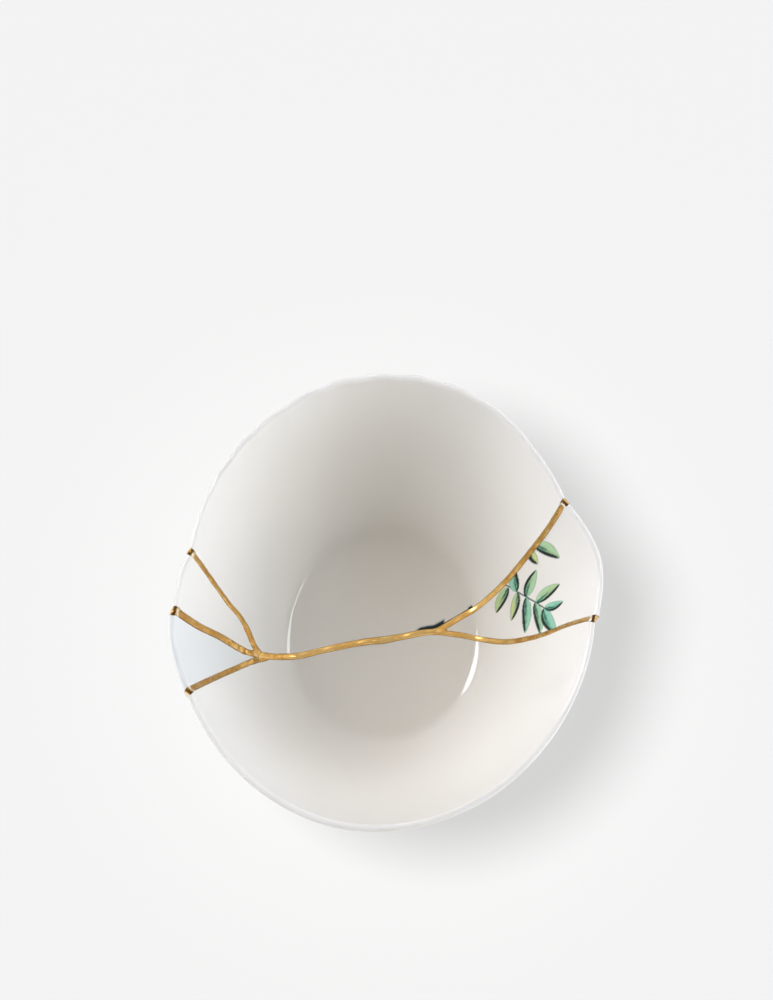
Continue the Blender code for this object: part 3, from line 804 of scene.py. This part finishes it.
def glazedPorcelain(name, tones, painted=False):
    # Slip-cast porcelain under a clear gloss glaze: clean white body colour, sharp reflections
    # that wander a little where the glaze pooled, and a bare matt ring where it stood in the kiln.
    # Painting under the glaze has the same gloss as the white round it.
    material, tree, shader, place = newMaterial(name)
    cloud = addNode(tree, "ShaderNodeTexNoise", {"Scale": 1 / glaze["cloud"], "Detail": 2.0},
                    {"Vector": place})
    colour = addNode(tree, "ShaderNodeMix", {"A_Color": linearColour(tones[0]),
                                             "B_Color": linearColour(tones[1])},
                     {"Factor_Float": cloud.outputs["Fac"]}, data_type="RGBA").outputs[2]
    if painted:
        paint = addNode(tree, "ShaderNodeAttribute", attribute_name="paint")
        colour = addNode(tree, "ShaderNodeMix", {}, {"Factor_Float": paint.outputs["Alpha"],
                                                     "A_Color": colour,
                                                     "B_Color": paint.outputs["Color"]},
                         data_type="RGBA").outputs[2]
    height = addNode(tree, "ShaderNodeSeparateXYZ", {}, {"Vector": place}).outputs["Z"]
    bare = addNode(tree, "ShaderNodeMapRange", {"From Min": glaze["bareBelow"][0],
                                                "From Max": glaze["bareBelow"][1]},
                   {"Value": height}).outputs["Result"]
    colour = addNode(tree, "ShaderNodeMix", {"B_Color": linearColour(glaze["bisque"])},
                     {"Factor_Float": bare, "A_Color": colour}, data_type="RGBA").outputs[2]
    matt = addNode(tree, "ShaderNodeMapRange", {"To Min": glaze["roughness"],
                                                "To Max": glaze["bareRoughness"]},
                   {"Value": bare}).outputs["Result"]
    tree.links.new(colour, shader.inputs["Base Color"])
    tree.links.new(matt, shader.inputs["Roughness"])
    wave = addNode(tree, "ShaderNodeTexNoise", {"Scale": 1 / glaze["ripple"], "Detail": 1.0},
                   {"Vector": place})
    bump = addNode(tree, "ShaderNodeBump", {"Strength": 1.0, "Distance": glaze["rippleDepth"]},
                   {"Height": wave.outputs["Fac"]})
    tree.links.new(bump.outputs["Normal"], shader.inputs["Normal"])
    shader.inputs["IOR"].default_value = glaze["ior"]
    return material


def burnishedGold(name):
    # Gold powder laid over a raised lacquer seam and burnished by hand: metal, a soft polish that
    # comes and goes, small dents, a brown border that is partly the gold running out thin over the
    # lacquer and partly painted shade along the bead's edges, and end pads with a painted dark
    # reflection in the middle and painted highlights on both sides of it
    material, tree, shader, place = newMaterial(name)
    shader.inputs["Metallic"].default_value = 1.0
    rubbed = addNode(tree, "ShaderNodeTexNoise", {"Scale": 1 / gold["rubbed"], "Detail": 2.0},
                     {"Vector": place})
    tone = addNode(tree, "ShaderNodeMapRange", {"From Min": 0.35, "From Max": 0.65},
                   {"Value": rubbed.outputs["Fac"]}).outputs["Result"]
    colour = addNode(tree, "ShaderNodeMix", {"A_Color": linearColour(gold["colour"]),
                                             "B_Color": linearColour(gold["deepColour"])},
                     {"Factor_Float": tone}, data_type="RGBA").outputs[2]
    # The brown along the bead's edges is partly the gold thinning over the lacquer and partly painted
    # shade
    border = addNode(tree, "ShaderNodeAttribute", attribute_name="border").outputs["Fac"]
    edgeBrownAndShade = addNode(tree, "ShaderNodeMapRange", {"From Min": gold["borderFrom"],
                                                 "To Max": gold["borderCover"]},
                    {"Value": border}).outputs["Result"]
    colour = addNode(tree, "ShaderNodeMix", {"B_Color": linearColour(gold["edgeBrownAndShadeColour"])},
                     {"Factor_Float": edgeBrownAndShade, "A_Color": colour}, data_type="RGBA").outputs[2]
    # The end pads' painted dark reflection and painted highlights, laid over the gold's colour
    for mark in ("worn", "fresh"):
        cover = addNode(tree, "ShaderNodeAttribute", attribute_name=mark).outputs["Fac"]
        colour = addNode(tree, "ShaderNodeMix", {"B_Color": linearColour(gold[mark + "Colour"])},
                         {"Factor_Float": cover, "A_Color": colour}, data_type="RGBA").outputs[2]
    polish = addNode(tree, "ShaderNodeMapRange", {"To Min": gold["polish"][0],
                                                  "To Max": gold["polish"][1]},
                     {"Value": tone}).outputs["Result"]
    tree.links.new(colour, shader.inputs["Base Color"])
    tree.links.new(polish, shader.inputs["Roughness"])
    grain = addNode(tree, "ShaderNodeTexNoise", {"Scale": 1 / gold["grain"], "Detail": 2.0},
                    {"Vector": place})
    bump = addNode(tree, "ShaderNodeBump", {"Strength": 1.0, "Distance": gold["grainDepth"]},
                   {"Height": grain.outputs["Fac"]})
    tree.links.new(bump.outputs["Normal"], shader.inputs["Normal"])
    return material


print("materials")
slots = {
    "warm_glaze": glazedPorcelain("glazedPorcelain", glaze["warm"]),
    "painted_glaze": glazedPorcelain("paintedPorcelain", glaze["warm"], painted=True),
    "cool_glaze": glazedPorcelain("coolGlazedPorcelain", glaze["cool"]),
    "gold": burnishedGold("burnishedGold"),
}
for name, facts in shards.items():
    piece = pieces[name]
    # The upper shard is plain glaze in the record, but carries the brush stroke
    finish = "painted_glaze" if "paint" in piece.data.color_attributes else facts["slot"]
    piece.data.materials.append(slots[finish])
    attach(piece, "root")
    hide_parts(facts["node"])
goldSeams.data.materials.append(slots["gold"])
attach(goldSeams, "root")
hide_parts("gold_seams")
goldSeams.visible_diffuse = goldSeams.visible_glossy = False  # no stray glints on the walls

print("stage")
# Soft suns round the plate model its inside, and the floor has suns of its own. Each one:
# direction from +X, height and width in degrees, strength, tint.
studio = {
    "floorColour": "#7a7a7a",
    "backdrop": "#f2f2f2",
    "floorHalf": 3.0,
    "floorGlow": 0.368,  # the floor is a light table
    "tints": {"cool": (0.905, 1.0, 1.20), "mild": (0.97, 0.98, 1.03), "warm": (1.065, 0.96, 0.90)},
    "plateLights": {
        "right": (0, 19, 44, 2.36, "cool"),
        "backRight": (45, 45, 36, 0.22, "cool"),
        "back": (95, 25, 24, 0.53, "cool"),
        "backLeft": (135, 29, 25, 0.76, "cool"),
        "upperLeft": (135, 45, 36, 0.75, "warm"),
        "left": (180, 20, 44, 1.27, "cool"),
        "frontLeft": (225, 12, 36, 0.52, "cool"),
        "front": (270, 31, 30, 0.47, "mild"),
        "frontRight": (315, 17, 40, 0.4, "mild"),
    },
    "floorLights": {
        "fromLeft": (186, 68, 26, 5.08, None),
        "overhead": (270, 76.5, 5, 3.9, None),  # its shadow lies under the plate
    },
    "stripsAway": 2.0,  # metres from the plate
    # Narrow lights that only the gloss shows: direction, height, wide and high in degrees, brightness
    "strips": {
        "crescent": (141, 55, 12, 25, 15.0),
        "overRight": (27, 58, 5, 36, 7.0),
    },
    # What the gloss sees of the room: height (0 level, 1 straight up) and brightness
    "room": [(0.06, 0.3), (0.24, 1.15), (0.95, 0.5)],
}
corners = studio["floorHalf"] * np.array([(-1, -1, 0), (1, -1, 0), (1, 1, 0), (-1, 1, 0)])
floor = meshObject("floor", corners, [(0, 1, 2, 3)])
floorMaterial, _, shader, _ = newMaterial("paleFloor")  # a matt sheet that glows evenly
shader.inputs["Base Color"].default_value = linearColour(studio["floorColour"])
shader.inputs["Roughness"].default_value = 0.9
shader.inputs["Specular IOR Level"].default_value = 0.0
shader.inputs["Emission Color"].default_value = (1.0, 1.0, 1.0, 1.0)
shader.inputs["Emission Strength"].default_value = studio["floorGlow"]
floor.data.materials.append(floorMaterial)

# The room shows only in the gloss, and the camera sees a plain pale backdrop in its place
world = bpy.data.worlds.new("studio")
bpy.context.scene.world = world
world.use_nodes = True
world.cycles_visibility.diffuse = False
tree = world.node_tree
direction = addNode(tree, "ShaderNodeTexCoord").outputs["Generated"]
height = addNode(tree, "ShaderNodeSeparateXYZ", {}, {"Vector": direction}).outputs["Z"]
ramp = addNode(tree, "ShaderNodeValToRGB", {}, {"Fac": height})
ramp.color_ramp.elements.new(0.5)  # a third stop beside the two that a ramp starts with
for element, (at, level) in zip(ramp.color_ramp.elements, studio["room"]):
    element.position = at
    element.color = (level, level, level, 1.0)
seen = addNode(tree, "ShaderNodeLightPath").outputs["Is Camera Ray"]
backdrop = addNode(tree, "ShaderNodeMix", {"B_Color": linearColour(studio["backdrop"])},
                   {"Factor_Float": seen, "A_Color": ramp.outputs["Color"]},
                   data_type="RGBA").outputs[2]
tree.links.new(backdrop, tree.nodes["Background"].inputs["Color"])

# The suns model the shards; the gold takes its light from the room and the strips alone
litShards = bpy.data.collections.new("litShards")
litPlate = bpy.data.collections.new("litPlate")
litFloor = bpy.data.collections.new("litFloor")
for piece in pieces.values():
    litShards.objects.link(piece)
    litPlate.objects.link(piece)
litPlate.objects.link(goldSeams)
litFloor.objects.link(floor)


def hangLight(name, light, azimuth, elevation, lit, distance=0.0):
    # A light that shines on the plate's middle, from the given direction and distance
    lamp = bpy.data.objects.new(name, light)
    turn, rise = math.radians(azimuth), math.radians(elevation)
    lamp.location = distance * np.array([math.cos(rise) * math.cos(turn),
                                         math.cos(rise) * math.sin(turn), math.sin(rise)])
    lamp.rotation_euler = (math.pi / 2 - rise, 0, math.pi / 2 + turn)
    lamp.light_linking.receiver_collection = lit
    bpy.context.scene.collection.objects.link(lamp)
    return lamp


for group, lit in (("plateLights", litShards), ("floorLights", litFloor)):
    for name, (azimuth, elevation, width, strength, tint) in studio[group].items():
        light = bpy.data.lights.new(name, "SUN")
        light.angle = math.radians(width)
        light.energy = strength
        light.color = studio["tints"].get(tint, (1.0, 1.0, 1.0))
        lamp = hangLight(name, light, azimuth, elevation, lit)
        lamp.visible_glossy = False
for name, (azimuth, elevation, wide, high, brightness) in studio["strips"].items():
    light = bpy.data.lights.new(name, "AREA")
    light.shape = "ELLIPSE"
    light.size = 2 * studio["stripsAway"] * math.tan(math.radians(wide / 2))
    light.size_y = 2 * studio["stripsAway"] * math.tan(math.radians(high / 2))
    area = math.pi / 4 * light.size * light.size_y
    light.energy = brightness * math.pi * area
    lamp = hangLight(name, light, azimuth, elevation, litPlate, studio["stripsAway"])
    lamp.visible_diffuse = False
    # It stays out of the light that the walls throw on each other, so it leaves no stray glints
    light.use_nodes = True
    bounces = addNode(light.node_tree, "ShaderNodeLightPath").outputs["Diffuse Depth"]
    first = addNode(light.node_tree, "ShaderNodeMath", {"Value_001": 0.5}, {"Value": bounces},
                    operation="LESS_THAN").outputs["Value"]
    light.node_tree.links.new(first, light.node_tree.nodes["Emission"].inputs["Strength"])

print("camera")
camera = {
    "aim": (0.0, 0.0, 0.072),
    "elevation": 76.5,
    "distance": 1.8,
    "below": 98.6,  # pixels that the aim point lies below the picture's middle
    "focal": 4245.0,  # pixels
    "longSide": 1000.0,
    "sensor": 36.0,
    "clip": (0.05, 20.0),
}
lens = bpy.data.cameras.new("camera")
lens.sensor_width = camera["sensor"]
lens.lens = camera["focal"] / camera["longSide"] * camera["sensor"]
lens.clip_start, lens.clip_end = camera["clip"]
eye = bpy.data.objects.new("camera", lens)
rise = math.radians(camera["elevation"])
eye.location = (camera["aim"][0], camera["aim"][1] - camera["distance"] * math.cos(rise),
                camera["aim"][2] + camera["distance"] * math.sin(rise))
tilt = rise - math.atan(camera["below"] / camera["focal"])
eye.rotation_euler = (math.pi / 2 - tilt, 0.0, 0.0)
bpy.context.scene.collection.objects.link(eye)
bpy.context.scene.camera = eye
bpy.context.scene.view_settings.view_transform = "Standard"
bpy.context.scene.view_settings.look = "None"
